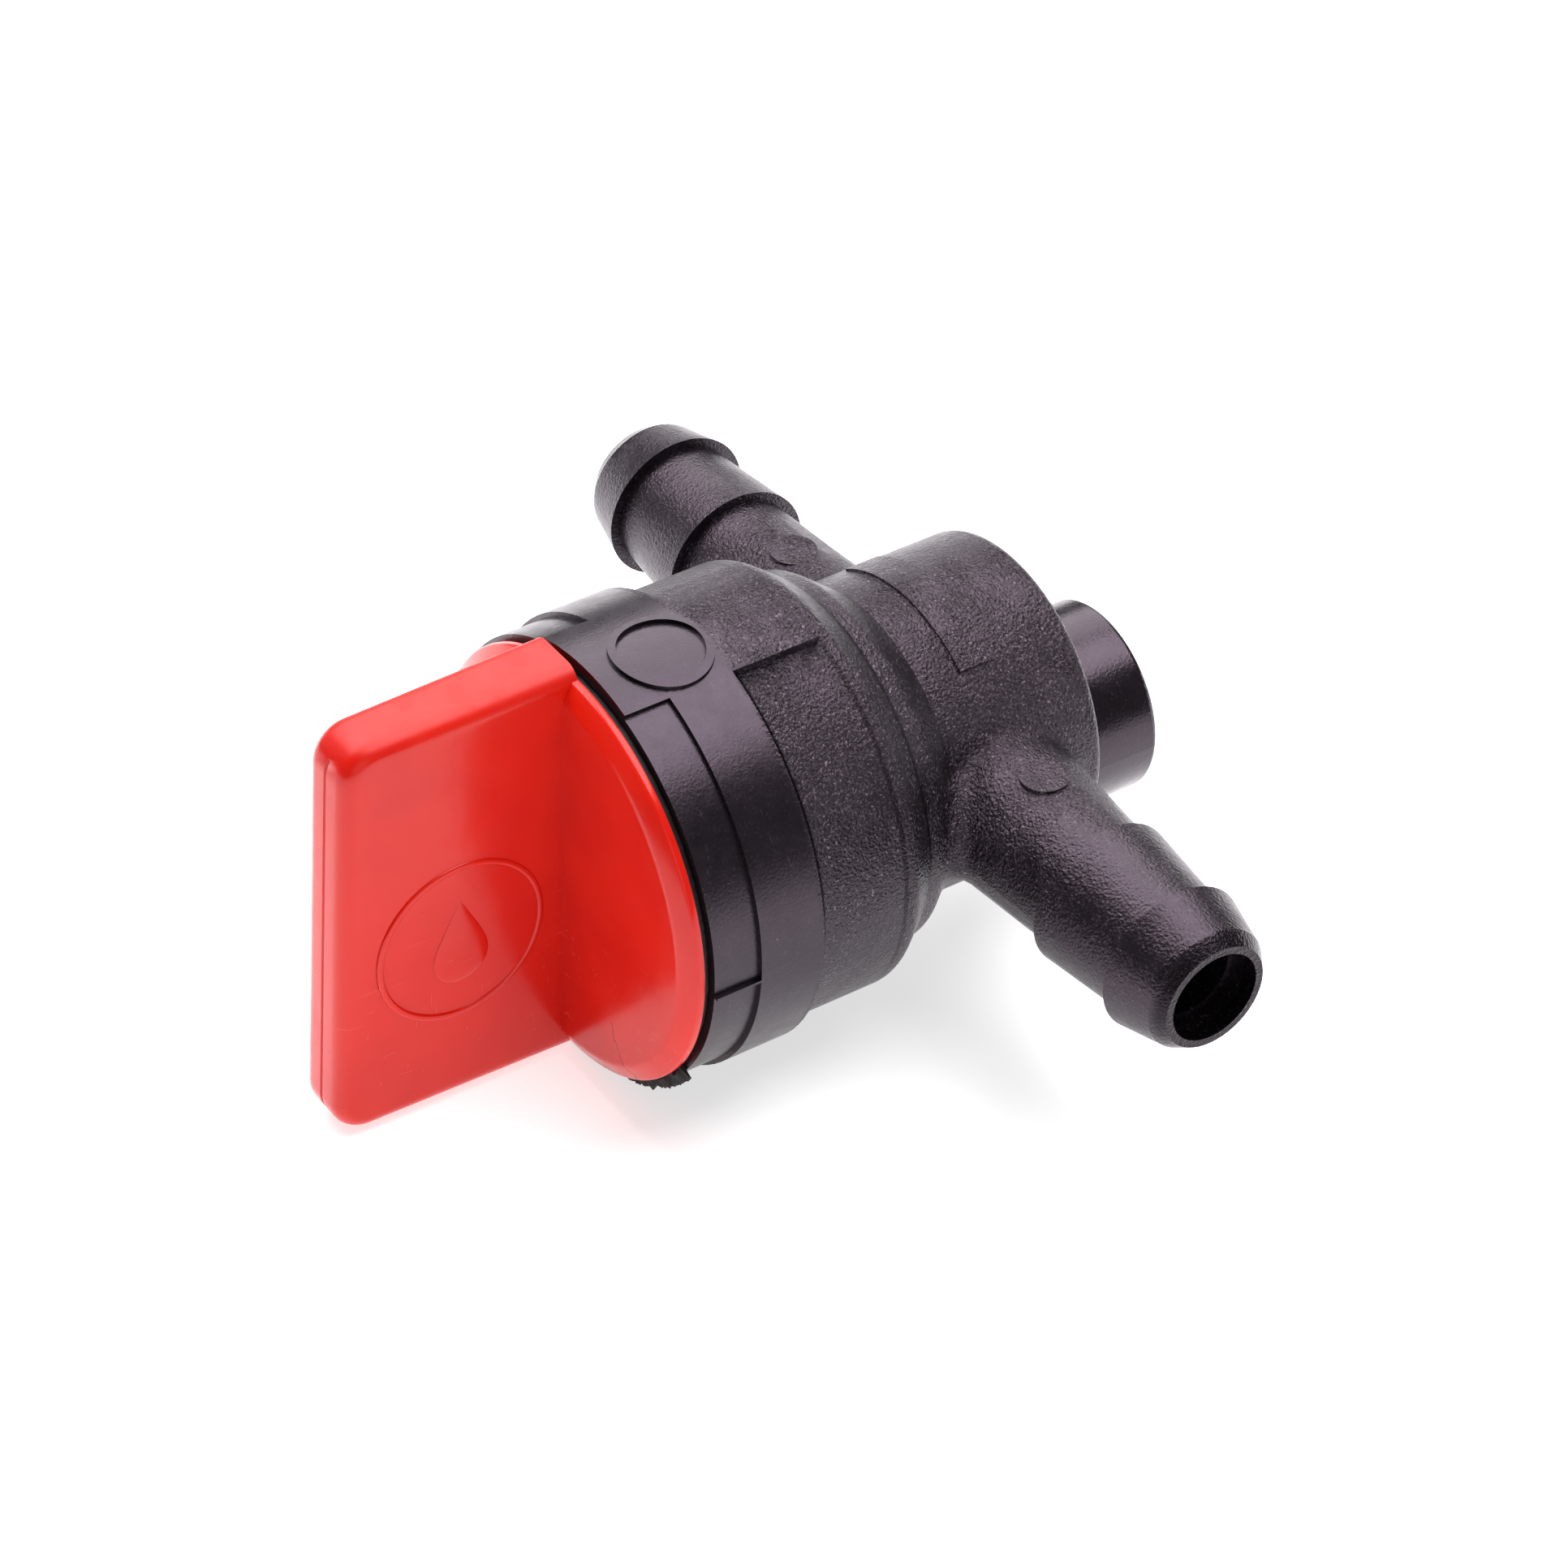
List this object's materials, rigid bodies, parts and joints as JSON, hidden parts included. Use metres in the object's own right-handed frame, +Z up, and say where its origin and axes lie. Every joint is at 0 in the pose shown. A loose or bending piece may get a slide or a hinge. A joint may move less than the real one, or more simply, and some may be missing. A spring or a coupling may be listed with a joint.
{
  "type": "fuel shut-off tap",
  "caption": "Small in-line quarter-turn fuel tap with a flat paddle knob in front, opposed barbed hose spigots and a plain boss behind.",
  "frame": {"origin": "centre of the inlet spigot's mouth, on the flow axis", "axes": "+X along the flow from inlet to outlet, -Y out of the knob's face along the turn axis, +Z up; knob drawn closed"},
  "size_m": [0.048, 0.0437, 0.0231],
  "materials": {
    "body_black": "fine-grained black moulding",
    "knob_red": "satin-gloss red moulding",
    "rotor_natural": "natural acetal, turned smooth",
    "washer_white": "smooth low-friction plastic",
    "ring_steel": "spring steel",
    "seal_rubber": "black fuel-resistant rubber"
  },
  "bodies": {
    "valve": {"valve_body": "body_black", "thrust_washer": "washer_white", "retaining_ring": "ring_steel", "dust_ring": "seal_rubber", "inlet_port_seal": "seal_rubber", "outlet_port_seal": "seal_rubber"},
    "knob_and_rotor": {"knob": "knob_red", "rotor": "rotor_natural", "stem_o_ring": "seal_rubber"}
  },
  "joints": [
    {"name": "knob_turn", "type": "hinge", "parent": "valve", "child": "knob_and_rotor", "pos_m": [0.024, 0, 0], "axis": [0, -1, 0], "range_deg": [0, 90]}
  ]
}
